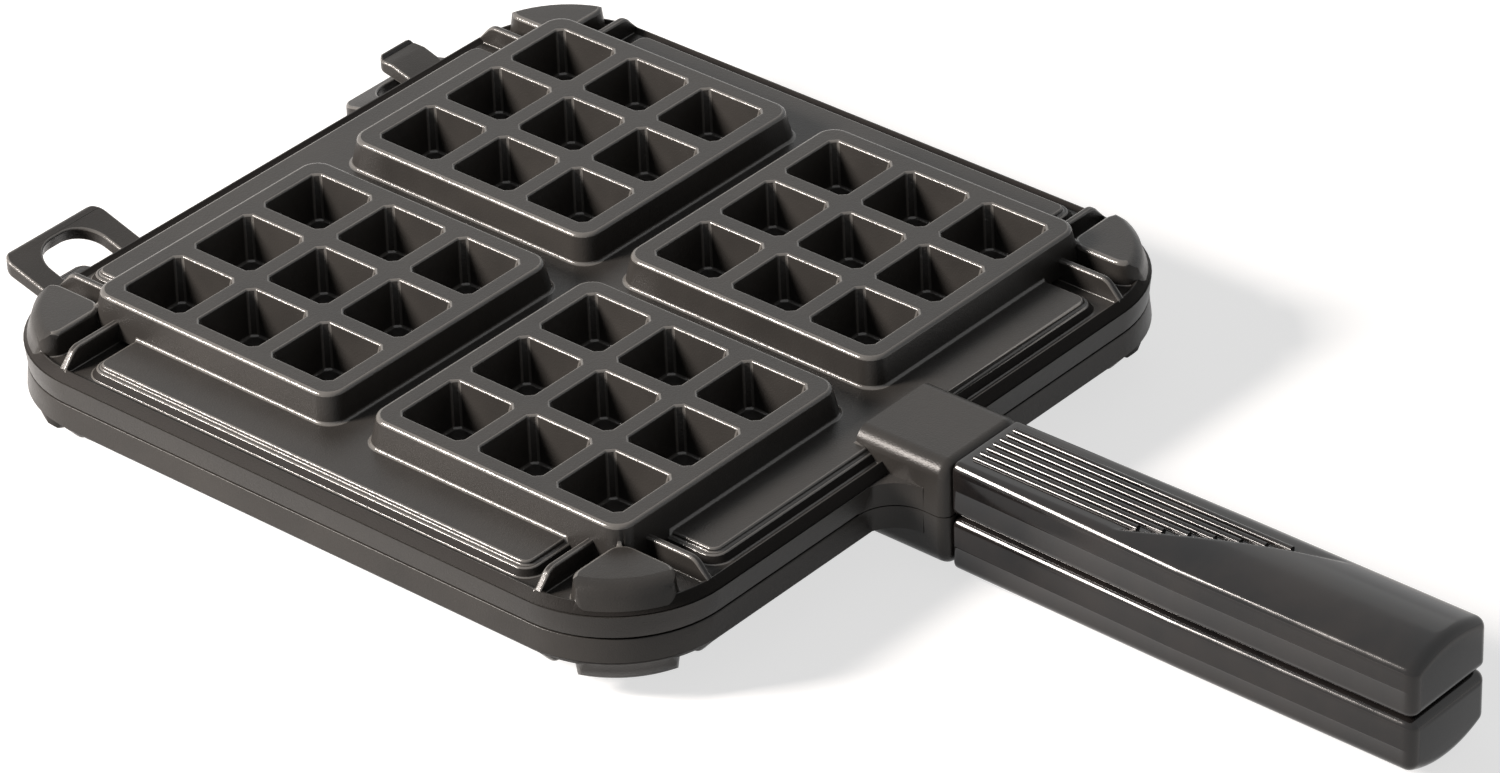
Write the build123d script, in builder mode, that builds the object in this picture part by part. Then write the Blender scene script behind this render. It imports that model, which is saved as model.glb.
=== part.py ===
from build123d import *
import os
from math import atan2, degrees, radians, tan

# Stovetop waffle iron: two equal halves of cast aluminium that hook together at
# the back, each with a moulded handle.  Lengths are in millimetres, +Z is up and
# the handles point along -Y.  Every piece is drawn with the middle of the plate
# on the Z axis and the parting plane of the halves at Z = 0, as the upper half
# lies, and is then set in place twice: once as drawn, once turned over.

# Parting of the two halves
half_height = 18.85
parting_gap = 0.3
parting_chamfer = 0.3

# Plate and its rim, from the parting plane up
plate_half = 109.0
corner_radius = 31.8
rim_draft = 0.6
groove_height = 6.45
groove_width = 0.3
groove_depth = 0.5
slope_foot_inset = 0.3
ridge_height = 8.95
ridge_outer_inset = 1.65
ridge_inner_inset = 2.1
valley_height = 7.9
valley_outer_inset = 3.2
valley_inner_inset = 3.8
ledge_height = 9.9
ledge_inset = 5.2
panel_inset = 6.2
panel_draft = 0.3
floor_height = 11.0
floor_corner = 9.0
floor_fin_gap = 1.0

# Four raised waffle boxes, each with three rows of three pegs
box_spacing = 93.6
box_half = 40.6
box_corner = 5.5
box_draft = 9.5
box_sink = 2.0
peg_pitch = 25.2
pegs_per_row = 3
pit_mouth = 20.2
pit_corner = 1.5
peg_draft = 11.0
peg_wall = 2.2
peg_end_wall = 2.4
peg_clearance = 4.6
pocket_ceiling = 13.2
pocket_half = 41.0
pocket_draft = 7.8
pocket_corner = 3.0
bond = 0.3

# Overflow gutter round the boxes, open at the parting plane
gutter_outer_inset = 4.5
gutter_wall = 2.6
gutter_island_corner = 8.0
gutter_ceiling = 7.4

# Corner fins and domes
fin_setback = 8.8
fin_thickness = 2.0
fin_height = 13.55
fin_root_depth = 1.4
fin_outer_inset = 5.6
fin_nose = 4.0
dome_outer_inset = 0.2
dome_inner_edge = 7.0
dome_inner_draft = 8.0
dome_corner = 5.5
dome_foot = 7.0
dome_shoulder_inset = 1.7
dome_shoulder_height = 12.2
dome_crown_inset = 4.3
dome_height = 14.2

# Boss at the front, which carries the handle
boss_height = 14.8
boss_half_width = 15.1
boss_side_draft = 0.4
boss_root_depth = 10.0
boss_length = 18.0
boss_shoulder = 4.4
boss_front_edge = 3.0
flare_radius = 11.0
flare_root_depth = 1.8

# Tang of the casting inside the handle
tang_half_width = 7.0
tang_bottom = 6.0
tang_top = 12.0
tang_length = 38.0
tang_root = 2.0

# Handle
handle_gap = 0.3
handle_bottom = 0.35
handle_length = 137.3
handle_half = 14.7
handle_neck_half = 13.0
handle_neck_length = 68.0
handle_shoulder = 13.8
handle_crown = 17.4
handle_lower_edge = 2.5
handle_upper_edge = 3.0
handle_end_edge = 1.9
panel_height = 15.3
panel_margin = 3.0
rib_count = 7
rib_pitch = 2.53
rib_radius = 0.9
rib_sides = 6
rib_start = 3.0
rib_end_first = 52.0
rib_end_step = 5.65
crest_half_width = 15.2
crest_first_reach = 40.0
crest_middle_reach = 74.0
crest_last_reach = 120.0
socket_clearance = 0.25

# Screw and lock washer of each handle
screw_setback = 24.0
screw_radius = 2.5
screw_clearance = 0.25
thread_clearance = 0.05
screw_end_margin = 0.4
head_radius = 4.3
head_height = 2.2
head_edge = 0.7
head_recess_radius = 4.9
washer_seat = 3.6
washer_clearance = 0.05
washer_thickness = 0.8
washer_radius = 4.5
washer_bore = 2.7
washer_split = 0.8
drive_width = 0.9
drive_length = 4.6
drive_depth = 1.2

# Hinge: an eye on the left and a finger on the right of the upper half
hinge_offset = 62.5
hinge_axis_setback = 1.2
hinge_root_depth = 3.0
eye_width = 34.0
eye_length = 20.4
eye_root_height = 3.2
eye_end_height = 9.4
eye_end_underside = 5.0
eye_corner = 4.5
eye_edge = 1.3
eye_hole_half = 9.6
eye_hole_corner = 8.0
eye_bar = 3.8
finger_width = 13.0
finger_length = 15.7
finger_root_height = 2.9
finger_crest_length = 10.2
finger_crest_height = 6.0
finger_lip_height = 8.0
finger_lip_width = 1.6
finger_underside = 2.9
finger_edge = 0.6
finger_corner = 2.5

half_gap = parting_gap / 2
box_offset = box_spacing / 2
fin_offset = box_offset + box_half - fin_setback
rim_centre = plate_half - corner_radius
boss_back = plate_half - boss_root_depth
boss_front = plate_half + boss_length
hinge_axis_reach = plate_half + hinge_axis_setback
hinge_root_reach = plate_half - hinge_root_depth
eye_reach = plate_half + eye_length
finger_reach = plate_half + finger_length
finger_crest_reach = plate_half + finger_crest_length
peg_slope = tan(radians(peg_draft))
front_reach = boss_front + handle_gap + handle_length
plate_centre = (front_reach - eye_reach) / 2


def plate_outline(half):
    """Rounded square that keeps the same distance from the plate's edge all round."""
    RectangleRounded(2 * half, 2 * half, corner_radius - plate_half + half)


def plate_layer(low_half, low, high_half, high, mode=Mode.ADD):
    """Slice of the plate between two heights."""
    with BuildSketch(Plane.XY.offset(low)) as layer:
        plate_outline(low_half)
    taper = degrees(atan2(low_half - high_half, high - low))
    extrude(layer.sketch, amount=high - low, taper=taper, mode=mode)


def floor_layer(low_inset, low, high_inset, high):
    """Slice of the raised floor, whose rounded arms stop short of the corner fins."""
    with BuildSketch(Plane.XY.offset(low)) as layer:
        arm = 2 * (plate_half - low_inset)
        arm_width = 2 * (fin_offset - floor_fin_gap - low_inset)
        arm_corner = floor_corner - low_inset
        RectangleRounded(arm, arm_width, arm_corner)
        RectangleRounded(arm_width, arm, arm_corner)
    taper = degrees(atan2(high_inset - low_inset, high - low))
    extrude(layer.sketch, amount=high - low, taper=taper)


def drafted_square(low_half, low, high_half, high):
    """Square block whose flat sides lean between two heights."""
    for plane, mode in ((Plane.XZ, Mode.ADD), (Plane.YZ, Mode.INTERSECT)):
        with BuildSketch(plane) as side:
            with BuildLine():
                Polyline(
                    (-low_half, low), (low_half, low), (high_half, high), (-high_half, high),
                    close=True,
                )
            make_face()
        extrude(side.sketch, amount=max(low_half, high_half), both=True, mode=mode)


def pit_half(height):
    """Half the width of a pit at a height above the parting plane."""
    return pit_mouth / 2 - (half_height - height) * peg_slope


# The raised box over one waffle
with BuildPart() as waffle_box:
    box_foot = floor_height - box_sink
    box_foot_half = box_half + (half_height - box_foot) * tan(radians(box_draft))
    drafted_square(box_foot_half, box_foot, box_half, half_height)
    fillet(waffle_box.edges().group_by(Axis.Z)[1], box_corner)

# The hollow under one box, which shapes the waffle
with BuildPart() as pocket:
    pocket_top_half = pocket_half - pocket_ceiling * tan(radians(pocket_draft))
    drafted_square(pocket_half, 0, pocket_top_half, pocket_ceiling)
    chamfer(pocket.edges().group_by(Axis.Z)[1], pocket_corner)

# One peg of the waffle grid, and the pit behind it
with BuildPart() as peg:
    peg_root = pocket_ceiling + bond
    drafted_square(
        pit_half(peg_clearance) + peg_wall, peg_clearance,
        pit_half(peg_root) + peg_wall, peg_root,
    )

with BuildPart() as pit:
    pit_floor = peg_clearance + peg_end_wall
    drafted_square(pit_half(pit_floor), pit_floor, pit_mouth / 2, half_height)
    chamfer(pit.edges().group_by(Axis.Z)[1], pit_corner)

# Corner dome: a cushion between two fins, its outer side round like the rim
with BuildPart() as dome:
    for low_inset, low, high_inset, high in (
        (0, dome_foot, dome_shoulder_inset, dome_shoulder_height),
        (dome_shoulder_inset, dome_shoulder_height, dome_crown_inset, dome_height),
    ):
        with BuildSketch(Plane.XY.offset(low)):
            Circle(corner_radius - dome_outer_inset - low_inset)
        extrude(amount=high - low, taper=degrees(atan2(high_inset - low_inset, high - low)))
    with BuildSketch(Plane.XY.offset(dome_foot)) as dome_plan:
        Circle(corner_radius - dome_outer_inset)
        with Locations((dome_inner_edge, dome_inner_edge)):
            Rectangle(
                corner_radius, corner_radius,
                align=(Align.MIN, Align.MIN), mode=Mode.INTERSECT,
            )
        fillet(dome_plan.vertices(), dome_corner)
    extrude(amount=dome_height - dome_foot, taper=dome_inner_draft, mode=Mode.INTERSECT)

# Corner fin, drawn across the right edge of the plate
with BuildPart() as fin:
    fin_foot = valley_height - box_sink
    fin_inner_reach = box_offset + box_half - fin_root_depth
    fin_foot_reach = plate_half - ridge_outer_inset
    with BuildSketch(Plane.XZ) as fin_section:
        with BuildLine():
            Polyline(
                (fin_inner_reach, fin_foot), (fin_inner_reach, fin_height),
                (plate_half - fin_outer_inset, fin_height),
                (fin_foot_reach, ridge_height), (fin_foot_reach, fin_foot), close=True,
            )
        make_face()
        fillet(fin_section.vertices().group_by(Axis.Y)[-1].sort_by(Axis.X)[-1], fin_nose)
    extrude(amount=fin_thickness / 2, both=True)

# Boss that carries the handle, with the flared roots that join it to the rim
with BuildPart() as boss:
    with BuildSketch(Plane.XZ.offset(boss_back)) as boss_section:
        with BuildLine():
            Polyline(
                (-boss_half_width, half_gap), (boss_half_width, half_gap),
                (boss_half_width - boss_side_draft, boss_height),
                (boss_side_draft - boss_half_width, boss_height), close=True,
            )
        make_face()
        fillet(boss_section.vertices().group_by(Axis.Y)[-1], boss_shoulder)
    extrude(amount=boss_front - boss_back)
    front_edges = boss.faces().sort_by(Axis.Y)[0].edges()
    fillet(front_edges.sort_by(Axis.Z)[1:], boss_front_edge)

with BuildPart() as flare:
    with BuildSketch(Plane.XY.offset(half_gap)) as flare_plan:
        with Locations((0, flare_root_depth - plate_half)):
            Rectangle(
                2 * (boss_half_width + flare_radius), flare_radius + flare_root_depth,
                align=(Align.CENTER, Align.MAX),
            )
        for side in (-1, 1):
            with Locations((side * (boss_half_width + flare_radius), -plate_half - flare_radius)):
                Circle(flare_radius, mode=Mode.SUBTRACT)
    extrude(amount=groove_height - half_gap)

# Hinge eye, drawn on the middle plane and moved sideways later
eye_tilt = (eye_end_height - eye_root_height) / (eye_reach - plate_half)
with BuildPart() as hinge_eye:
    with BuildSketch(Plane.YZ) as eye_section:
        with BuildLine():
            Polyline(
                (hinge_root_reach, half_gap), (hinge_axis_reach, half_gap),
                (eye_reach, eye_end_underside), (eye_reach, eye_end_height),
                (plate_half, eye_root_height), (hinge_root_reach, eye_root_height),
                close=True,
            )
        make_face()
        fillet(eye_section.vertices().group_by(Axis.X)[-1], eye_edge)
    extrude(amount=eye_width / 2, both=True)
    with BuildSketch() as eye_plan:
        with Locations((0, eye_reach - eye_width / 2)):
            RectangleRounded(eye_width, eye_width, eye_corner)
    extrude(amount=half_height, mode=Mode.INTERSECT)
    eye_plane = Plane(
        origin=(0, eye_reach - eye_bar, eye_end_height - eye_tilt * eye_bar),
        x_dir=(1, 0, 0),
        z_dir=(0, -eye_tilt, 1),
    )
    with BuildSketch(eye_plane):
        RectangleRounded(
            2 * eye_hole_half, 2 * eye_length, eye_hole_corner,
            align=(Align.CENTER, Align.MAX),
        )
    extrude(amount=half_height / 2, both=True, mode=Mode.SUBTRACT)

# Hinge finger with its turned-up lip
with BuildPart() as hinge_finger:
    with BuildSketch(Plane.YZ) as finger_section:
        with BuildLine():
            Polyline(
                (hinge_root_reach, half_gap), (hinge_axis_reach, half_gap),
                (finger_reach, finger_underside), (finger_reach, finger_lip_height),
                (finger_reach - finger_lip_width, finger_crest_height),
                (finger_crest_reach, finger_crest_height),
                (plate_half, finger_root_height), (hinge_root_reach, finger_root_height),
                close=True,
            )
        make_face()
        fillet(finger_section.vertices().group_by(Axis.X)[-1], finger_edge)
    extrude(amount=finger_width / 2, both=True)
    with BuildSketch() as finger_plan:
        with Locations((0, finger_reach)):
            RectangleRounded(
                finger_width, 2 * finger_length, finger_corner,
                align=(Align.CENTER, Align.MAX),
            )
    extrude(amount=half_height, mode=Mode.INTERSECT)

# One half of the iron, cast in one piece
with BuildPart() as casting:
    widest = plate_half + rim_draft
    plate_layer(plate_half - parting_chamfer, half_gap, plate_half, half_gap + parting_chamfer)
    plate_layer(plate_half, half_gap + parting_chamfer, widest, groove_height)
    groove_top = groove_height + groove_width
    with BuildSketch(Plane.XY.offset(groove_height)):
        plate_outline(widest - groove_depth)
    extrude(amount=groove_width)
    plate_layer(
        widest - slope_foot_inset, groove_top,
        plate_half - ridge_outer_inset, ridge_height,
    )
    plate_layer(
        plate_half - valley_outer_inset, valley_height,
        plate_half - ridge_inner_inset, ridge_height, Mode.SUBTRACT,
    )
    floor_layer(valley_inner_inset, valley_height, ledge_inset, ledge_height)
    floor_layer(panel_inset, ledge_height, panel_inset + panel_draft, floor_height)
    with GridLocations(box_spacing, box_spacing, 2, 2):
        add(waffle_box.part)
    for quarter in range(4):
        turn = Location((0, 0, 0), (0, 0, 90 * quarter))
        with Locations(turn * Location((rim_centre, rim_centre, 0))):
            add(dome.part)
        for side in (-1, 1):
            with Locations(turn * Location((0, side * fin_offset, 0))):
                add(fin.part)
    add(boss.part)
    add(flare.part)
    with Locations((-hinge_offset, 0)):
        add(hinge_eye.part)
    with Locations((hinge_offset, 0)):
        add(hinge_finger.part)
    # The waffle pockets and the gutter, open at the parting plane
    with GridLocations(box_spacing, box_spacing, 2, 2):
        add(pocket.part, mode=Mode.SUBTRACT)
    with BuildSketch():
        plate_outline(plate_half - gutter_outer_inset)
        island_half = box_offset + pocket_half + gutter_wall
        RectangleRounded(
            2 * island_half, 2 * island_half, gutter_island_corner, mode=Mode.SUBTRACT,
        )
    extrude(amount=gutter_ceiling, mode=Mode.SUBTRACT)
    # The pegs and the pits behind them
    with GridLocations(box_spacing, box_spacing, 2, 2):
        with GridLocations(peg_pitch, peg_pitch, pegs_per_row, pegs_per_row):
            add(peg.part)
    with GridLocations(box_spacing, box_spacing, 2, 2):
        with GridLocations(peg_pitch, peg_pitch, pegs_per_row, pegs_per_row):
            add(pit.part, mode=Mode.SUBTRACT)
    # The tang, with the tapped hole for the handle's screw
    with BuildSketch(Plane.XZ.offset(boss_front - tang_root)):
        with Locations((0, (tang_bottom + tang_top) / 2)):
            Rectangle(2 * tang_half_width, tang_top - tang_bottom)
    extrude(amount=tang_length + tang_root)
    with BuildSketch(Plane.XY.offset(tang_bottom)):
        with Locations((0, -boss_front - screw_setback)):
            Circle(screw_radius + thread_clearance)
    extrude(amount=tang_top - tang_bottom, mode=Mode.SUBTRACT)


# Handle, moulded in phenolic resin, with a neck that narrows towards the boss
with BuildPart() as handle:
    handle_back = boss_front + handle_gap
    with BuildSketch(Plane.XZ.offset(handle_back)) as section:
        with BuildLine():
            Polyline(
                (-handle_half, handle_shoulder), (-handle_half, handle_bottom),
                (handle_half, handle_bottom), (handle_half, handle_shoulder),
            )
            ThreePointArc(
                (handle_half, handle_shoulder), (0, handle_crown), (-handle_half, handle_shoulder),
            )
        make_face()
        fillet(section.vertices().group_by(Axis.Y)[0], handle_lower_edge)
        fillet(section.vertices().group_by(Axis.Y)[-1], handle_upper_edge)
    extrude(amount=handle_length)
    with BuildSketch(Plane.XY.offset(handle_bottom)):
        for side in (-1, 1):
            with BuildLine():
                Polyline(
                    (side * handle_half, -handle_back - handle_neck_length),
                    (side * handle_neck_half, -handle_back),
                    (side * (handle_half + panel_margin), -handle_back),
                    (side * (handle_half + panel_margin), -handle_back - handle_neck_length),
                    close=True,
                )
            make_face()
    extrude(amount=handle_crown, mode=Mode.SUBTRACT)
    chamfer(handle.faces().sort_by(Axis.Y)[0].edges(), handle_end_edge)
    # The flat panel, which ends at a crest that runs slantwise over the grip
    with BuildSketch(Plane.XY.offset(panel_height)):
        with BuildLine():
            Spline(
                (-crest_half_width, -handle_back - crest_first_reach),
                (0, -handle_back - crest_middle_reach),
                (crest_half_width, -handle_back - crest_last_reach),
                tangents=[(0, -1), (0, -1)],
            )
            Polyline(
                (crest_half_width, -handle_back - crest_last_reach),
                (crest_half_width + panel_margin, -handle_back - crest_last_reach),
                (crest_half_width + panel_margin, panel_margin - handle_back),
                (-crest_half_width - panel_margin, panel_margin - handle_back),
                (-crest_half_width - panel_margin, -handle_back - crest_first_reach),
                (-crest_half_width, -handle_back - crest_first_reach),
            )
        make_face()
    extrude(amount=handle_crown, mode=Mode.SUBTRACT)
    # The grip ribs, each running as far as the crest lets it
    for index in range(rib_count):
        with BuildSketch(Plane.XZ.offset(handle_back + rib_start)):
            with Locations(((index - (rib_count - 1) / 2) * rib_pitch, panel_height)):
                RegularPolygon(rib_radius, rib_sides)
        extrude(amount=rib_end_first - rib_start + index * rib_end_step)
    # The socket for the tang
    with BuildSketch(Plane.XZ.offset(handle_back)):
        with Locations((0, (tang_bottom + tang_top) / 2)):
            Rectangle(
                2 * (tang_half_width + socket_clearance),
                tang_top - tang_bottom + 2 * socket_clearance,
            )
    extrude(amount=tang_length - handle_gap + socket_clearance, mode=Mode.SUBTRACT)
    # The recess for the screw's head and washer, and the hole for its shank
    with BuildSketch(Plane.XY.offset(handle_bottom)):
        with Locations((0, -boss_front - screw_setback)):
            Circle(head_recess_radius)
    extrude(amount=washer_seat - handle_bottom, mode=Mode.SUBTRACT)
    with BuildSketch(Plane.XY.offset(washer_seat)):
        with Locations((0, -boss_front - screw_setback)):
            Circle(screw_radius + screw_clearance)
    extrude(amount=tang_bottom - washer_seat, mode=Mode.SUBTRACT)

# Split lock washer under the screw's head
screw_place = Location((0, -boss_front - screw_setback, 0))
washer_top = washer_seat - washer_clearance
washer_foot = washer_top - washer_thickness
with BuildPart() as lock_washer:
    with BuildSketch(Plane(screw_place).offset(washer_foot)):
        Circle(washer_radius)
        Circle(washer_bore, mode=Mode.SUBTRACT)
        with Locations((washer_radius, 0)):
            Rectangle(2 * (washer_radius - screw_radius), washer_split, mode=Mode.SUBTRACT)
    extrude(amount=washer_thickness)

# Machine screw with a cross recess, driven in from the flat side of the handle
with BuildPart() as handle_screw:
    head_top = washer_foot - washer_clearance
    head_face = head_top - head_height
    with BuildSketch(Plane(screw_place).offset(head_face)):
        Circle(head_radius)
    extrude(amount=head_height)
    chamfer(handle_screw.faces().sort_by(Axis.Z)[0].edges(), head_edge)
    with BuildSketch(Plane(screw_place).offset(head_top)):
        Circle(screw_radius)
    extrude(amount=tang_top - screw_end_margin - head_top)
    with BuildSketch(Plane(screw_place).offset(head_face)):
        Rectangle(drive_length, drive_width)
        Rectangle(drive_width, drive_length)
    extrude(amount=drive_depth, mode=Mode.SUBTRACT)

# Both halves are the same pieces: the lower one is the upper one turned over
upper_seat = Location((0, plate_centre, half_height))
lower_seat = upper_seat * Location((0, 0, 0), (0, 180, 0))
os.makedirs("parts", exist_ok=True)
for half_name, seat in (("upper", upper_seat), ("lower", lower_seat)):
    for piece_name, piece in (
        ("plate", casting),
        ("handle", handle),
        ("handle_screw", handle_screw),
        ("lock_washer", lock_washer),
    ):
        with BuildPart() as placed:
            with Locations(seat):
                add(piece.part)
        placed.part.label = f"{half_name}_{piece_name}"
        export_step(placed.part, f"parts/{half_name}_{piece_name}.step")
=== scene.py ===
from math import asin, cos, pi, sin, sqrt

import bmesh
import bpy
from mathutils import Matrix, Vector


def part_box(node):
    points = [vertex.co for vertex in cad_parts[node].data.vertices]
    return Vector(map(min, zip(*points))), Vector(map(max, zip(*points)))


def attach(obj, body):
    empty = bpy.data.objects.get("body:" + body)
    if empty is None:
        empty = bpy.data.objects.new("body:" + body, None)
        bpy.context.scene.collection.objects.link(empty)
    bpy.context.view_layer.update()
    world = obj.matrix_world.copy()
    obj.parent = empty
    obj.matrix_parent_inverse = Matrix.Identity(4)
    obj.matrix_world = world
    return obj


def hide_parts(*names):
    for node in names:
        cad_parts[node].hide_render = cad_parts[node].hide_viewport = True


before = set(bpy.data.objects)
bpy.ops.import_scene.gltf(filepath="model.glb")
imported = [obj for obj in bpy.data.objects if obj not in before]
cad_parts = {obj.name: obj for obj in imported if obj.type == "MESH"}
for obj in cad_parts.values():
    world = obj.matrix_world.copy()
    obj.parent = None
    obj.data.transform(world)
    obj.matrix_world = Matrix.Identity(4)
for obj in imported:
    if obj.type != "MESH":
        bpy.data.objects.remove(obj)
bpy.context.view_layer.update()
scene = bpy.context.scene
MM = 0.001

# ---------------------------------------------------------------------------
# The two cast halves.  Each is one casting of aluminium, with its hinge eye and
# finger, corner fins and handle boss.  Its lips are fettled round, and it is
# sprayed with a satin black coat, made lighter and glossier on the lips, a painted
# highlight, and darker and matt on the rim's sloping bands, painted shade.
# ---------------------------------------------------------------------------

# Where the halves part, and how far the hinge's eye reaches from the plate's middle
PARTING = (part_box("upper_plate")[0][2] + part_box("lower_plate")[1][2]) / 2
EYE_REACH = 129.4 * MM
PLATE_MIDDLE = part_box("upper_plate")[1][1] - EYE_REACH

# Places that tell one kind of edge from another, from the plate's middle
BOX_OFFSET = 46.8 * MM
BOX_REACH = 42.5 * MM
PIT_REACH = 38.0 * MM
BOX_TOP = 18.85 * MM
DOME_TOP = 14.2 * MM
DOME_START = 84.0 * MM
FIN_OFFSET = 78.6 * MM
FIN_HALF = 1.0 * MM
FIN_FOOT = 9.0 * MM
HINGE_START = 110.4 * MM
LEVEL = 0.02 * MM

# How far back from its corner each kind of edge is rounded, in millimetres
WIDEST_LIP = 1.0
DOME_LIP = 1.0
BOX_LEVELS = ((11.0, 0.7), (7.0, 0.6), (4.6, 0.5), (0.15, 0.2))
RIM_LEVELS = ((11.0, 0.45), (9.9, 0.35), (7.9, 0.25))
RIM_BANDS = ((6.70, 9.00), (7.85, 9.95))
BAND_LEANS = (0.5, 0.8)
BOX_LIP = 0.9
PIT_LIP = 0.5
PIT_CORNER = 0.4
FIN_LIP = 0.6
HINGE_LIP = 0.6
SHARP_BEND = 0.9
PIT_BEND = 0.5
LIP_STEPS = 3

# A strip this wide is kept along the lips of the flat box tops
LIP_MARGIN = 1.2 * MM

# What is merged before and after the rounding: doubles, flat faces, needles
DOUBLE_GAP = 2e-6
FLAT_ANGLE = 0.004
NEEDLE_WIDTH = 0.02 * MM
NEEDLE_LENGTH = 0.01 * MM


def edge_rounding(edge):
    """How far back, in millimetres, an edge of the casting is rounded."""
    bend = edge.calc_face_angle_signed(0.0)
    first, second = (vert.co for vert in edge.verts)
    low, high = sorted((abs(first.z - PARTING), abs(second.z - PARTING)))
    across = abs(first.x + second.x) / 2
    along = (first.y + second.y) / 2 - PLATE_MIDDLE
    cell = max(abs(across - BOX_OFFSET), abs(abs(along) - BOX_OFFSET))
    if cell < PIT_REACH and high - low > LEVEL and abs(bend) > PIT_BEND:
        return PIT_CORNER
    if abs(bend) < SHARP_BEND:
        return 0.0
    if along > HINGE_START:
        return HINGE_LIP if bend > 0.0 else 0.0
    if min(across, abs(along)) > DOME_START and low > DOME_TOP - LEVEL:
        return DOME_LIP
    if cell < BOX_REACH:
        if abs(high - BOX_TOP) < LEVEL and high - low < LEVEL:
            return BOX_LIP if cell > PIT_REACH else PIT_LIP
        return next((r for height, r in BOX_LEVELS if abs(high - height * MM) < LEVEL), 0.0)
    ends_across = (first.x, second.x)
    ends_along = (first.y - PLATE_MIDDLE, second.y - PLATE_MIDDLE)
    for ends in (ends_across, ends_along):
        on_fin = all(abs(abs(abs(end) - FIN_OFFSET) - FIN_HALF) < LEVEL for end in ends)
        if on_fin and bend > 0.0 and high > FIN_FOOT:
            return FIN_LIP
    if high - low < LEVEL:
        return next((r for height, r in RIM_LEVELS if abs(high - height * MM) < LEVEL), 0.0)
    return 0.0


def is_rim_band(face):
    """Tells the rim's sloping bands, which get a darker, matt coat as painted shade."""
    heights = [abs(vert.co.z - PARTING) / MM for vert in face.verts]
    level = any(low < min(heights) and max(heights) < high for low, high in RIM_BANDS)
    return level and BAND_LEANS[0] < abs(face.normal.z) < BAND_LEANS[1]


def casting_mesh(node_name, mesh_name):
    """A merged copy of a packed casting, its edges weighted for their rounding."""
    mesh = bpy.data.meshes.new(mesh_name)
    work = bmesh.new()
    work.from_mesh(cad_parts[node_name].data)
    bmesh.ops.remove_doubles(work, verts=work.verts, dist=DOUBLE_GAP)
    bmesh.ops.dissolve_limit(work, angle_limit=FLAT_ANGLE, verts=work.verts, edges=work.edges)
    tops = [
        face for face in work.faces
        if all(abs(abs(vert.co.z - PARTING) - BOX_TOP) < LEVEL for vert in face.verts)
    ]
    bmesh.ops.inset_region(work, faces=tops, thickness=LIP_MARGIN, use_even_offset=True)
    weight = work.edges.layers.float.new("bevel_weight_edge")
    for edge in work.edges:
        edge[weight] = edge_rounding(edge) / WIDEST_LIP
        edge.smooth = edge[weight] > 0.0 or edge.calc_face_angle(0.0) < SHARP_BEND
    for face in work.faces:
        face.smooth = True
        # The rim's sloping bands take the darker coat, which is painted shade.
        face.material_index = BAND_SHADE if is_rim_band(face) else PLAIN
    work.to_mesh(mesh)
    work.free()
    mesh.attributes.remove(mesh.attributes["custom_normal"])
    for finish in (plain_coat, lip_highlight_coat, band_shade_coat):
        mesh.materials.append(finish)
    return mesh


def new_piece(name, mesh):
    """An object for a finished mesh, which already lies in its place."""
    piece = bpy.data.objects.new(name, mesh)
    scene.collection.objects.link(piece)
    return piece


def made_mesh(piece):
    """The plain mesh that a piece's modifiers give."""
    graph = bpy.context.evaluated_depsgraph_get()
    return bpy.data.meshes.new_from_object(piece.evaluated_get(graph), depsgraph=graph)


def cleaned(mesh):
    """The same mesh without its needle-thin faces, with its hard bends marked."""
    work = bmesh.new()
    work.from_mesh(mesh)
    bmesh.ops.remove_doubles(work, verts=work.verts, dist=NEEDLE_WIDTH)
    bmesh.ops.dissolve_degenerate(work, dist=NEEDLE_LENGTH, edges=work.edges)
    work.to_mesh(mesh)
    work.free()
    mesh.set_sharp_from_angle(angle=SHARP_BEND)
    return mesh


class Finish:
    """Builds one procedural finish, node by node, on object coordinates in metres."""

    def __init__(self, name):
        self.material = bpy.data.materials.new(name)
        self.material.use_nodes = True
        self.nodes = self.material.node_tree.nodes
        self.links = self.material.node_tree.links
        self.nodes.clear()
        self.output = self.nodes.new("ShaderNodeOutputMaterial")
        self.shader = self.nodes.new("ShaderNodeBsdfPrincipled")
        self.links.new(self.shader.outputs["BSDF"], self.output.inputs["Surface"])
        self.place = self.nodes.new("ShaderNodeTexCoord").outputs["Object"]

    def noise(self, scale, detail, roughness):
        node = self.nodes.new("ShaderNodeTexNoise")
        node.inputs["Scale"].default_value = scale
        node.inputs["Detail"].default_value = detail
        node.inputs["Roughness"].default_value = roughness
        self.links.new(self.place, node.inputs["Vector"])
        return node.outputs["Fac"]

    def stretch(self, factor, low_in, high_in, low_out, high_out):
        node = self.nodes.new("ShaderNodeMapRange")
        node.inputs["From Min"].default_value = low_in
        node.inputs["From Max"].default_value = high_in
        node.inputs["To Min"].default_value = low_out
        node.inputs["To Max"].default_value = high_out
        self.links.new(factor, node.inputs["Value"])
        return node.outputs["Result"]

    def ramp(self, factor, stops):
        node = self.nodes.new("ShaderNodeValToRGB")
        ramp = node.color_ramp
        while len(ramp.elements) < len(stops):
            ramp.elements.new(0.5)
        for element, (position, colour) in zip(ramp.elements, stops):
            element.position = position
            element.color = (*colour, 1.0)
        self.links.new(factor, node.inputs["Fac"])
        return node.outputs["Color"]

    def bump(self, height, strength, distance, under=None):
        node = self.nodes.new("ShaderNodeBump")
        node.inputs["Strength"].default_value = strength
        node.inputs["Distance"].default_value = distance
        self.links.new(height, node.inputs["Height"])
        if under is not None:
            self.links.new(under, node.inputs["Normal"])
        return node.outputs["Normal"]


# Each coat's darkest and lightest colour, smoothest and roughest patch, refractive index
PLAIN_COAT = ((0.024, 0.0225, 0.021), (0.034, 0.0315, 0.029), 0.29, 0.36, 1.33)
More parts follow.
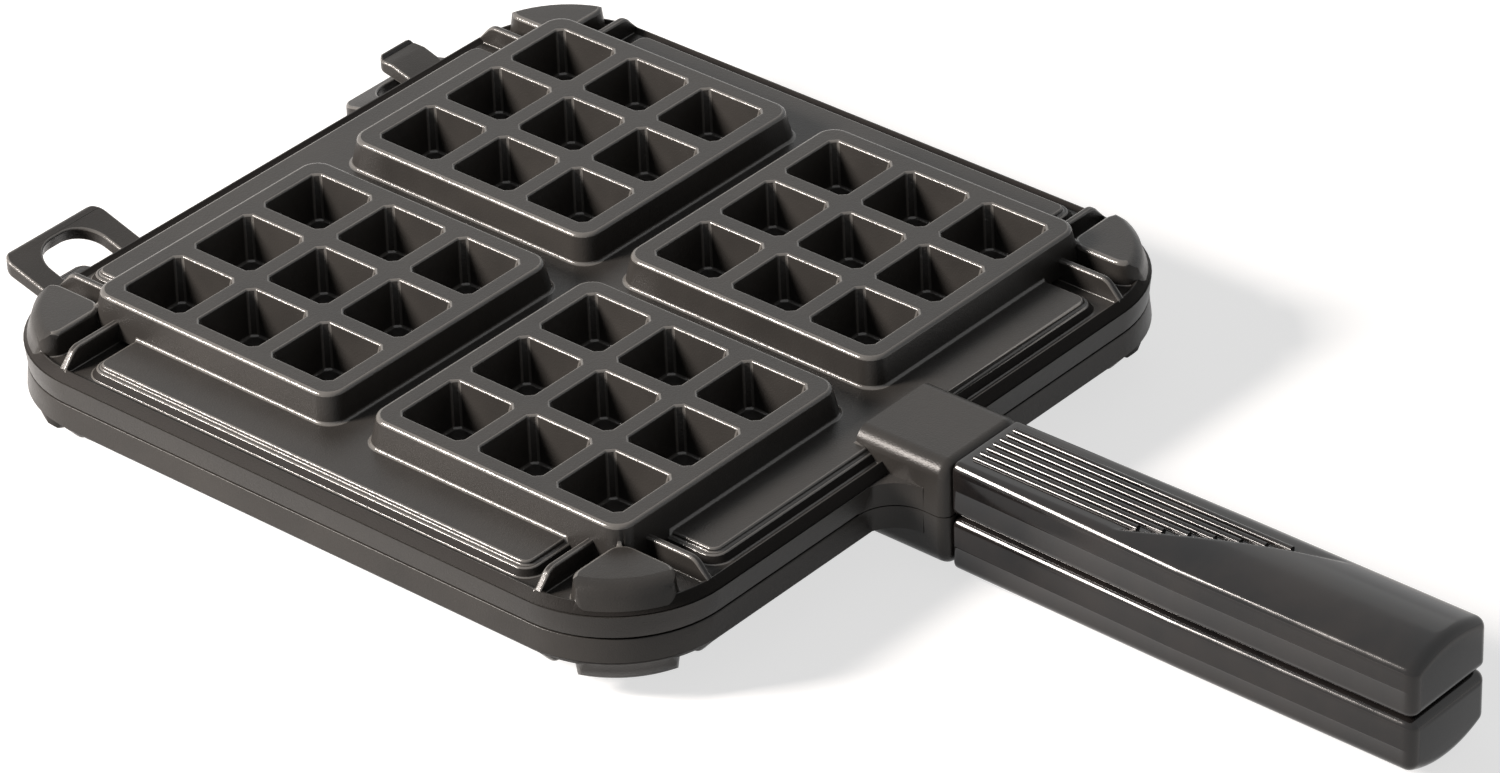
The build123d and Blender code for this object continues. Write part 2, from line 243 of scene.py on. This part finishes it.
# The lips' coat: a lighter colour as a painted highlight, and smoother.
LIP_HIGHLIGHT_COAT = ((0.095, 0.091, 0.086), (0.120, 0.115, 0.108), 0.17, 0.24, 1.50)
# The rim bands' coat: a darker colour as painted shade, and rougher.
BAND_SHADE_COAT = ((0.015, 0.014, 0.013), (0.022, 0.020, 0.019), 0.50, 0.60, 1.14)

# The order of the three coats on a casting
PLAIN, LIP_HIGHLIGHT, BAND_SHADE = range(3)


def sprayed_coat(name, dark, light, smooth, rough, gloss):
    """The black coat: cloudy colour, fine grain and a little orange peel."""
    coat = Finish(name)
    patches = coat.noise(scale=38.0, detail=3.0, roughness=0.55)
    grain = coat.noise(scale=2400.0, detail=2.0, roughness=0.6)
    orange_peel = coat.noise(scale=620.0, detail=2.0, roughness=0.5)
    peeled = coat.bump(orange_peel, strength=0.18, distance=0.00015)
    grained = coat.bump(grain, strength=0.65, distance=0.00010, under=peeled)
    coat.links.new(coat.ramp(patches, [(0.30, dark), (0.72, light)]), coat.shader.inputs["Base Color"])
    coat.links.new(coat.stretch(patches, 0.3, 0.7, smooth, rough), coat.shader.inputs["Roughness"])
    coat.links.new(grained, coat.shader.inputs["Normal"])
    coat.shader.inputs["IOR"].default_value = gloss
    return coat.material


plain_coat = sprayed_coat("nonstick_coat", *PLAIN_COAT)
# The lips' coat, lighter than the plain one: a painted highlight.
lip_highlight_coat = sprayed_coat("painted_lip_highlights", *LIP_HIGHLIGHT_COAT)
# The rim bands' coat, darker than the plain one: painted shade.
band_shade_coat = sprayed_coat("painted_shade_bands", *BAND_SHADE_COAT)

for half in ("upper", "lower"):
    pattern = new_piece("casting_pattern", casting_mesh(f"{half}_plate", "casting_pattern"))
    rounding = pattern.modifiers.new("fettled_lips", "BEVEL")
    rounding.width = WIDEST_LIP * MM
    rounding.segments = LIP_STEPS
    rounding.limit_method = "WEIGHT"
    rounding.use_clamp_overlap = False
    # The rounded lips take the lighter coat, which is a painted highlight.
    rounding.material = LIP_HIGHLIGHT
    casting = new_piece(f"{half}_casting", cleaned(made_mesh(pattern)))
    bpy.data.objects.remove(pattern)
    flats = casting.modifiers.new("flat_faces", "WEIGHTED_NORMAL")
    flats.keep_sharp = True
    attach(casting, f"{half}_half")
    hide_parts(f"{half}_plate")

# ---------------------------------------------------------------------------
# The handles, compression moulded in black phenolic resin and polished at the
# mould.  Each slides over the casting's tang and is held by one screw.  A flat
# panel under the thumb ends at a crest that runs slantwise over the grip.
# ---------------------------------------------------------------------------

GRIP_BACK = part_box("upper_handle")[1][1]
GRIP_LENGTH = (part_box("upper_handle")[1][1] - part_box("upper_handle")[0][1]) / MM
GRIP_BOTTOM = 0.35
GRIP_HALF = 14.7
GRIP_NECK_HALF = 13.0
GRIP_NECK_LENGTH = 68.0
GRIP_SHOULDER = 13.8
GRIP_CROWN = 17.4
GRIP_LOWER_EDGE = 2.5
GRIP_UPPER_EDGE = 3.0
GRIP_END_EDGE = 3.0
GRIP_BACK_EDGE = 0.7
CROWN_RADIUS = (GRIP_HALF ** 2 + (GRIP_CROWN - GRIP_SHOULDER) ** 2) / (2 * (GRIP_CROWN - GRIP_SHOULDER))
SEAM_HEIGHT = 8.2
SEAM_HALF = 0.22
SEAM_FLASH = 0.1
PANEL_HEIGHT = 15.3
CREST_START = (-15.2, 40.0)
CREST_END = (15.2, 120.0)
CREST_FIRST_HANDLE = 4.0
CREST_LAST_HANDLE = 20.0
CREST_RISE = 2.6
CREST_RUN = 2.4
PANEL_BLEND = 0.3
STATION_STEP = 0.8
CROWN_STEPS = 60
EDGE_STEPS = 5
SOCKET_HALF = 7.25
SOCKET_HEIGHTS = (5.75, 12.25)
SOCKET_DEPTH = 37.95
SCREW_SETBACK = 23.7
RECESS_RADIUS = 4.9
RECESS_TOP = 3.6
SHANK_HOLE_RADIUS = 2.75
CUT_SPILL = 1.0
CORE_SIDES = 40
CREST_STEPS = 160
BACK_STEPS = 4
END_STEPS = 8
LEAST_EDGE = 0.4
MOULD_BEND = 0.7


def crest_points():
    """The crest's curve over the grip, as places across and along it."""
    for index in range(CREST_STEPS + 1):
        t = index / CREST_STEPS
        weights = ((1 - t) ** 3, 3 * (1 - t) ** 2 * t, 3 * (1 - t) * t ** 2, t ** 3)
        across = (CREST_START[0], CREST_START[0], CREST_END[0], CREST_END[0])
        along = (
            CREST_START[1], CREST_START[1] + CREST_FIRST_HANDLE,
            CREST_END[1] - CREST_LAST_HANDLE, CREST_END[1],
        )
        yield sum(w * a for w, a in zip(weights, across)), sum(w * a for w, a in zip(weights, along))


CREST = list(crest_points())


def past_crest(across, along):
    """How far a place on the grip lies past the crest, less than nought on the panel."""
    if along <= CREST_START[1]:
        return -GRIP_HALF
    if along >= CREST_END[1]:
        return GRIP_HALF
    for (x_near, y_near), (x_far, y_far) in zip(CREST, CREST[1:]):
        if along <= y_far:
            slope = (x_far - x_near) / (y_far - y_near)
            crest_across = x_near + slope * (along - y_near)
            return (crest_across - across) / sqrt(1 + slope * slope)
    return GRIP_HALF


def soft_lower(first, second, blend):
    """The lower of two heights, with the corner between them rounded off."""
    overlap = max(blend - abs(first - second), 0.0) / blend
    return min(first, second) - overlap * overlap * blend / 4


def grip_section(along, inset):
    """One closed cross-section of the grip, drawn in by an inset all round."""
    widen = min(along / GRIP_NECK_LENGTH, 1.0)
    half = GRIP_NECK_HALF + (GRIP_HALF - GRIP_NECK_HALF) * widen - inset
    bottom = GRIP_BOTTOM + inset
    lower = max(GRIP_LOWER_EDGE - inset, LEAST_EDGE)
    upper = max(GRIP_UPPER_EDGE - inset, LEAST_EDGE)
    radius = CROWN_RADIUS - inset
    centre = GRIP_CROWN - CROWN_RADIUS
    lean = asin((half - upper) / (radius - upper))
    turn_height = centre + (radius - upper) * cos(lean)
    right = [(half - lower, bottom)]
    for step in range(1, EDGE_STEPS + 1):
        angle = pi / 2 * step / EDGE_STEPS
        right.append((half - lower + lower * sin(angle), bottom + lower - lower * cos(angle)))
    flash = SEAM_FLASH if inset < SEAM_FLASH else 0.0
    right.append((half, SEAM_HEIGHT - SEAM_HALF))
    right.append((half + flash, SEAM_HEIGHT))
    right.append((half, SEAM_HEIGHT + SEAM_HALF))
    for step in range(EDGE_STEPS + 1):
        angle = (pi / 2 - lean) * step / (EDGE_STEPS + 1)
        right.append((half - upper + upper * cos(angle), turn_height + upper * sin(angle)))
    crown = []
    for step in range(CROWN_STEPS + 1):
        angle = lean - 2 * lean * step / CROWN_STEPS
        crown.append((radius * sin(angle), centre + radius * cos(angle)))
    ring = right + crown + [(-x, height) for x, height in reversed(right)]
    cut = []
    for across, height in ring:
        rise = past_crest(across, along) / CREST_RUN + 0.5
        rise = min(max(rise, 0.0), 1.0)
        ceiling = PANEL_HEIGHT - inset + CREST_RISE * rise * rise * (3 - 2 * rise)
        if height > PANEL_HEIGHT - inset - PANEL_BLEND:
            height = soft_lower(height, ceiling, PANEL_BLEND)
        cut.append((across, height))
    return cut


def grip_stations():
    """Places along the grip and the insets that round its two ends."""
    for step in range(BACK_STEPS):
        angle = pi / 2 * step / BACK_STEPS
        yield GRIP_BACK_EDGE * (1 - cos(angle)), GRIP_BACK_EDGE * (1 - sin(angle))
    straight = GRIP_LENGTH - GRIP_BACK_EDGE - GRIP_END_EDGE
    count = round(straight / STATION_STEP)
    for step in range(count + 1):
        yield GRIP_BACK_EDGE + straight * step / count, 0.0
    for step in range(1, END_STEPS + 1):
        angle = pi / 2 * step / END_STEPS
        yield GRIP_LENGTH - GRIP_END_EDGE * (1 - sin(angle)), GRIP_END_EDGE * (1 - cos(angle))


def half_place(half):
    """Moves a piece from the handle's own frame to its half of the iron."""
    turn = Matrix.Rotation(pi if half == "lower" else 0.0, 4, "Y")
    return Matrix.Translation((0, GRIP_BACK, PARTING)) @ turn @ Matrix.Scale(MM, 4)


def grip_solid():
    """The grip's skin, one ring of points for each station, closed at both ends."""
    work = bmesh.new()
    rings = []
    for along, inset in grip_stations():
        rings.append([work.verts.new((x, -along, h)) for x, h in grip_section(along, inset)])
    for near, far in zip(rings, rings[1:]):
        for index in range(len(near)):
            after = (index + 1) % len(near)
            work.faces.new((near[index], near[after], far[after], far[index]))
    work.faces.new(rings[0])
    work.faces.new(rings[-1])
    bmesh.ops.recalc_face_normals(work, faces=work.faces)
    mesh = bpy.data.meshes.new("grip_solid")
    work.to_mesh(mesh)
    work.free()
    return mesh


def socket_cutters():
    """What the mould's cores leave empty: tang socket, screw recess, screw hole."""
    work = bmesh.new()
    low, high = SOCKET_HEIGHTS
    bmesh.ops.create_cube(work, size=1.0, matrix=(
        Matrix.Translation((0, (CUT_SPILL - SOCKET_DEPTH) / 2, (low + high) / 2))
        @ Matrix.Diagonal((2 * SOCKET_HALF, SOCKET_DEPTH + CUT_SPILL, high - low, 1))
    ))
    yield work
    for radius, bottom, top in (
        (RECESS_RADIUS, -CUT_SPILL, RECESS_TOP),
        (SHANK_HOLE_RADIUS, RECESS_TOP - CUT_SPILL, low + CUT_SPILL),
    ):
        work = bmesh.new()
        bmesh.ops.create_cone(
            work, cap_ends=True, segments=CORE_SIDES, radius1=radius, radius2=radius, depth=top - bottom,
            matrix=Matrix.Translation((0, -SCREW_SETBACK, (top + bottom) / 2)),
        )
        yield work


blank = new_piece("grip_blank", grip_solid())
cores = []
for work in socket_cutters():
    core_mesh = bpy.data.meshes.new("grip_core")
    work.to_mesh(core_mesh)
    work.free()
    core = new_piece("grip_core", core_mesh)
    cut = blank.modifiers.new("core", "BOOLEAN")
    cut.object = core
    cut.solver = "EXACT"
    cores.append(core)
grip_pattern = made_mesh(blank)
for spent in (blank, *cores):
    bpy.data.objects.remove(spent)

RESIN_BLACK = (0.0055, 0.0055, 0.006)
RESIN_BROWN = (0.0150, 0.0125, 0.0115)

resin = Finish("handle_resin")
resin_clouds = resin.noise(scale=42.0, detail=4.0, roughness=0.6)
resin_flow = resin.noise(scale=260.0, detail=2.0, roughness=0.5)
resin_colour = resin.ramp(resin_clouds, [(0.32, RESIN_BLACK), (0.68, RESIN_BROWN)])
resin_polish = resin.stretch(resin_clouds, 0.32, 0.68, 0.10, 0.20)
resin_relief = resin.bump(resin_flow, strength=0.05, distance=0.0002)
resin.links.new(resin_colour, resin.shader.inputs["Base Color"])
resin.links.new(resin_polish, resin.shader.inputs["Roughness"])
resin.links.new(resin_relief, resin.shader.inputs["Normal"])
resin.shader.inputs["IOR"].default_value = 1.44

for half in ("upper", "lower"):
    grip_mesh = grip_pattern.copy()
    grip_mesh.transform(half_place(half))
    grip_mesh.polygons.foreach_set("use_smooth", [True] * len(grip_mesh.polygons))
    grip_mesh.set_sharp_from_angle(angle=MOULD_BEND)
    grip_mesh.materials.clear()
    grip_mesh.materials.append(resin.material)
    grip = new_piece(f"{half}_grip", grip_mesh)
    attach(grip, f"{half}_half")
    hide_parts(f"{half}_handle")

# ---------------------------------------------------------------------------
# The grip ribs, half-round beads moulded on the flat panel of each handle.  Each
# runs a little further along than the one before it, as far as the crest allows.
# ---------------------------------------------------------------------------

RIB_COUNT = 7
RIB_PITCH = 2.53
RIB_RADIUS = 0.85
RIB_START = 3.0
RIB_FIRST_LENGTH = 49.0
RIB_LENGTH_STEP = 5.65
RIB_POINTS = 44
RIB_SIDES = 12
RIB_TIP = 1.001


class Tree:
    """A Geometry Nodes tree with named sizes, built node by node."""

    def __init__(self, name):
        self.group = bpy.data.node_groups.new(name, "GeometryNodeTree")
        self.nodes = self.group.nodes
        self.links = self.group.links
        self.result = self.nodes.new("NodeGroupOutput")
        self.group.interface.new_socket("Geometry", in_out="OUTPUT", socket_type="NodeSocketGeometry")
        self.sizes = self.nodes.new("NodeGroupInput")
        self.keys = {}

    def size(self, name, kind="NodeSocketFloat"):
        socket = self.group.interface.new_socket(name, in_out="INPUT", socket_type=kind)
        self.keys[name] = socket.identifier
        return next(s for s in self.sizes.outputs if s.identifier == socket.identifier)

    def node(self, kind, inputs=None, **settings):
        made = self.nodes.new(kind)
        for name, value in settings.items():
            setattr(made, name, value)
        for key, value in (inputs or {}).items():
            if isinstance(value, bpy.types.NodeSocket):
                self.links.new(value, made.inputs[key])
            else:
                made.inputs[key].default_value = value
        return made

    def maths(self, operation, first, second=0.0):
        return self.node("ShaderNodeMath", {0: first, 1: second}, operation=operation).outputs[0]


ribs = Tree("grip_ribs")
rib_count = ribs.size("Count", "NodeSocketInt")
rib_pitch = ribs.size("Pitch")
rib_radius = ribs.size("Radius")
rib_first = ribs.size("First length")
rib_step = ribs.size("Length step")
rib_finish = ribs.size("Finish", "NodeSocketMaterial")
row_width = ribs.maths("MULTIPLY", ribs.maths("SUBTRACT", rib_count, 1.0), rib_pitch)
row_start = ribs.maths("MULTIPLY", row_width, -0.5)
row = ribs.node("GeometryNodeMeshLine", {
    "Count": rib_count,
    "Start Location": ribs.node("ShaderNodeCombineXYZ", {"X": row_start}).outputs[0],
    "Offset": ribs.node("ShaderNodeCombineXYZ", {"X": rib_pitch}).outputs[0],
})
rib_number = ribs.node("GeometryNodeInputIndex").outputs[0]
rib_length = ribs.maths("ADD", rib_first, ribs.maths("MULTIPLY", rib_number, rib_step))
unit_line = ribs.node("GeometryNodeCurvePrimitiveLine", {"Start": (0, 0, 0), "End": (0, -1, 0)})
row_lines = ribs.node("GeometryNodeInstanceOnPoints", {
    "Points": row.outputs["Mesh"],
    "Instance": unit_line.outputs["Curve"],
    "Scale": ribs.node("ShaderNodeCombineXYZ", {"X": 1.0, "Y": rib_length, "Z": 1.0}).outputs[0],
})
lines = ribs.node("GeometryNodeRealizeInstances", {"Geometry": row_lines.outputs["Instances"]})
beads = ribs.node("GeometryNodeResampleCurve", {"Curve": lines.outputs["Geometry"], "Count": RIB_POINTS})
way = ribs.node("GeometryNodeSplineParameter")
swing = ribs.maths("COSINE", ribs.maths("MULTIPLY", way.outputs["Factor"], pi))
eased = ribs.maths("SUBTRACT", 0.5, ribs.maths("MULTIPLY", swing, 0.5))
spline_length = ribs.node("GeometryNodeSplineLength").outputs["Length"]
shift = ribs.maths("MULTIPLY", ribs.maths("SUBTRACT", way.outputs["Factor"], eased), spline_length)
crowded = ribs.node("GeometryNodeSetPosition", {
    "Geometry": beads.outputs["Curve"],
    "Offset": ribs.node("ShaderNodeCombineXYZ", {"Y": shift}).outputs[0],
})
travelled = ribs.maths("MULTIPLY", eased, spline_length)
from_end = ribs.maths("MINIMUM", travelled, ribs.maths("SUBTRACT", spline_length, travelled))
short_of = ribs.maths("SUBTRACT", 1.0, ribs.maths("MINIMUM", ribs.maths("DIVIDE", from_end, rib_radius), 1.0))
roundness = ribs.maths("SQRT", ribs.maths("SUBTRACT", RIB_TIP, ribs.maths("MULTIPLY", short_of, short_of)))
thick = ribs.node("GeometryNodeSetCurveRadius", {
    "Curve": crowded.outputs["Geometry"], "Radius": ribs.maths("MULTIPLY", roundness, rib_radius),
})
bead_round = ribs.node("GeometryNodeCurvePrimitiveCircle", {"Resolution": RIB_SIDES, "Radius": 1.0})
skin = ribs.node("GeometryNodeCurveToMesh", {
    "Curve": thick.outputs["Curve"], "Profile Curve": bead_round.outputs["Curve"], "Fill Caps": True,
})
smooth = ribs.node("GeometryNodeSetShadeSmooth", {"Geometry": skin.outputs["Mesh"]})
whole = ribs.node("GeometryNodeRealizeInstances", {"Geometry": smooth.outputs["Geometry"]})
dressed = ribs.node(
    "GeometryNodeSetMaterial", {"Geometry": whole.outputs["Geometry"], "Material": rib_finish}
)
ribs.links.new(dressed.outputs["Geometry"], ribs.result.inputs[0])

for half in ("upper", "lower"):
    seed = new_piece("rib_seed", bpy.data.meshes.new("rib_seed"))
    grow = seed.modifiers.new("ribs", "NODES")
    grow.node_group = ribs.group
    for name, value in (
        ("Count", RIB_COUNT), ("Pitch", RIB_PITCH), ("Radius", RIB_RADIUS),
        ("First length", RIB_FIRST_LENGTH), ("Length step", RIB_LENGTH_STEP),
        ("Finish", resin.material),
    ):
        grow[ribs.keys[name]] = value
    rib_mesh = made_mesh(seed)
    bpy.data.objects.remove(seed)
    rib_mesh.transform(half_place(half) @ Matrix.Translation((0, -RIB_START, PANEL_HEIGHT)))
    beading = new_piece(f"{half}_grip_ribs", rib_mesh)
    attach(beading, f"{half}_half")

# ---------------------------------------------------------------------------
# The handle screws and their split lock washers, zinc-plated steel.  They sit
# in the recess on the handle's flat inner face.
# ---------------------------------------------------------------------------

ZINC_DULL = (0.42, 0.42, 0.41)
ZINC_BRIGHT = (0.60, 0.60, 0.58)

zinc = Finish("plated_steel")
zinc_brush = zinc.noise(scale=1500.0, detail=3.0, roughness=0.6)
zinc_colour = zinc.ramp(zinc_brush, [(0.3, ZINC_DULL), (0.7, ZINC_BRIGHT)])
zinc_polish = zinc.stretch(zinc_brush, 0.3, 0.7, 0.24, 0.38)
zinc_relief = zinc.bump(zinc_brush, strength=0.1, distance=0.00005)
zinc.links.new(zinc_colour, zinc.shader.inputs["Base Color"])
zinc.links.new(zinc_polish, zinc.shader.inputs["Roughness"])
zinc.links.new(zinc_relief, zinc.shader.inputs["Normal"])
zinc.shader.inputs["Metallic"].default_value = 1.0

for half in ("upper", "lower"):
    for fastener in ("handle_screw", "lock_washer"):
        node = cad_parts[f"{half}_{fastener}"]
        node.data.materials.clear()
        node.data.materials.append(zinc.material)

# ---------------------------------------------------------------------------
# The table that the iron lies on: a plain pale sheet of paper, laid flat under
# the lower half's boxes.  It shows white to the eye and in gloss, keeps the
# iron's shadow, and throws back only its own plain colour as light.
# ---------------------------------------------------------------------------

FLOOR_REACH = 6.0
FLOOR_GREY = 0.50
FLOOR_GRAIN = 0.01
FLOOR_GLOW = 0.68

floor_mesh = bpy.data.meshes.new("floor")
floor_mesh.from_pydata(
    [
        (-FLOOR_REACH, -FLOOR_REACH, 0.0), (FLOOR_REACH, -FLOOR_REACH, 0.0),
        (FLOOR_REACH, FLOOR_REACH, 0.0), (-FLOOR_REACH, FLOOR_REACH, 0.0),
    ],
    [], [(0, 1, 2, 3)],
)
floor = new_piece("floor", floor_mesh)
paper = Finish("white_paper")
paper.nodes.remove(paper.shader)
paper_matt = paper.nodes.new("ShaderNodeBsdfDiffuse")
paper_fibre = paper.noise(scale=900.0, detail=2.0, roughness=0.5)
paper_dark = (FLOOR_GREY - FLOOR_GRAIN,) * 3
paper_light = (FLOOR_GREY + FLOOR_GRAIN,) * 3
paper_colour = paper.ramp(paper_fibre, [(0.3, paper_dark), (0.7, paper_light)])
paper.links.new(paper_colour, paper_matt.inputs["Color"])
paper_glow = paper.nodes.new("ShaderNodeEmission")
paper_glow.inputs["Strength"].default_value = FLOOR_GLOW
paper_lit = paper.nodes.new("ShaderNodeAddShader")
paper.links.new(paper_matt.outputs["BSDF"], paper_lit.inputs[0])
paper.links.new(paper_glow.outputs["Emission"], paper_lit.inputs[1])


def white_where_seen(finish, plain, white):
    """Shows the white shader to the camera and in gloss, and the plain one elsewhere."""
    ray = finish.nodes.new("ShaderNodeLightPath")
    seen = ray.outputs["Is Camera Ray"]
    for kind in ("Is Glossy Ray", "Is Transmission Ray"):
        either = finish.nodes.new("ShaderNodeMath")
        either.operation = "MAXIMUM"
        finish.links.new(seen, either.inputs[0])
        finish.links.new(ray.outputs[kind], either.inputs[1])
        seen = either.outputs[0]
    pick = finish.nodes.new("ShaderNodeMixShader")
    finish.links.new(seen, pick.inputs["Fac"])
    finish.links.new(plain, pick.inputs[1])
    finish.links.new(white, pick.inputs[2])
    finish.links.new(pick.outputs["Shader"], finish.output.inputs["Surface"])


white_where_seen(paper, paper_matt.outputs["BSDF"], paper_lit.outputs["Shader"])
floor_mesh.materials.append(paper.material)

# ---------------------------------------------------------------------------
# Soft studio light: a weak pale room, a wide soft box behind and a small warm
# one at the left, which draws the thin bright lines along the castings' lips.
# The room shows white to the eye and in gloss, as the paper does.
# ---------------------------------------------------------------------------

ROOM_LIGHT = 0.10


class Room:
    """The studio's walls, as one world shader."""

    def __init__(self, name):
        self.world = bpy.data.worlds.new(name)
        self.world.use_nodes = True
        self.nodes = self.world.node_tree.nodes
        self.links = self.world.node_tree.links
        self.nodes.clear()
        self.output = self.nodes.new("ShaderNodeOutputWorld")

    def wall(self, strength):
        wall = self.nodes.new("ShaderNodeBackground")
        wall.inputs["Color"].default_value = (1.0, 1.0, 1.0, 1.0)
        wall.inputs["Strength"].default_value = strength
        return wall.outputs["Background"]


room = Room("room")
white_where_seen(room, room.wall(ROOM_LIGHT), room.wall(1.0))
scene.world = room.world

AIM = Vector((0.0, 0.03, 0.02))


def soft_box(name, place, width, depth, power, tint):
    """Rectangular studio lamp that faces the iron."""
    lamp = bpy.data.lights.new(name, "AREA")
    lamp.shape = "RECTANGLE"
    lamp.size = width
    lamp.size_y = depth
    lamp.energy = power
    lamp.color = tint
    holder = new_piece(name, lamp)
    holder.location = place
    holder.rotation_euler = (Vector(place) - AIM).to_track_quat("Z", "Y").to_euler()


soft_box(
    "rear_box", place=(1.1, 1.0, 0.95), width=1.3, depth=0.7, power=0.9, tint=(0.97, 1.0, 0.98)
)
soft_box(
    "left_box", place=(-1.03, 0.87, 0.84), width=0.34, depth=0.46, power=56.0, tint=(1.0, 0.92, 0.86)
)

# ---------------------------------------------------------------------------
# The camera, held by a standing cook who looks down over the left corner of
# the handles.  Its long lens stands back, so the iron's edges stay near parallel.
# ---------------------------------------------------------------------------

FILM_WIDTH = 36.0
LENS = 172.6
FARTHEST = 50.0
EYE_PLACE = (-1.1217, -0.9719, 0.9777)
EYE_RIGHT = (0.6472, -0.7618, -0.0270)
EYE_AHEAD = (0.6321, 0.5561, -0.5396)

view = bpy.data.cameras.new("view")
view.sensor_width = FILM_WIDTH
view.lens = LENS
view.clip_end = FARTHEST
eye = new_piece("view", view)
right = Vector(EYE_RIGHT).normalized()
ahead = Vector(EYE_AHEAD)
ahead = (ahead - right * ahead.dot(right)).normalized()
above = right.cross(ahead)
turn = Matrix((right, above, -ahead)).transposed().to_4x4()
eye.matrix_world = Matrix.Translation(EYE_PLACE) @ turn
scene.camera = eye
scene.view_settings.view_transform = "Standard"
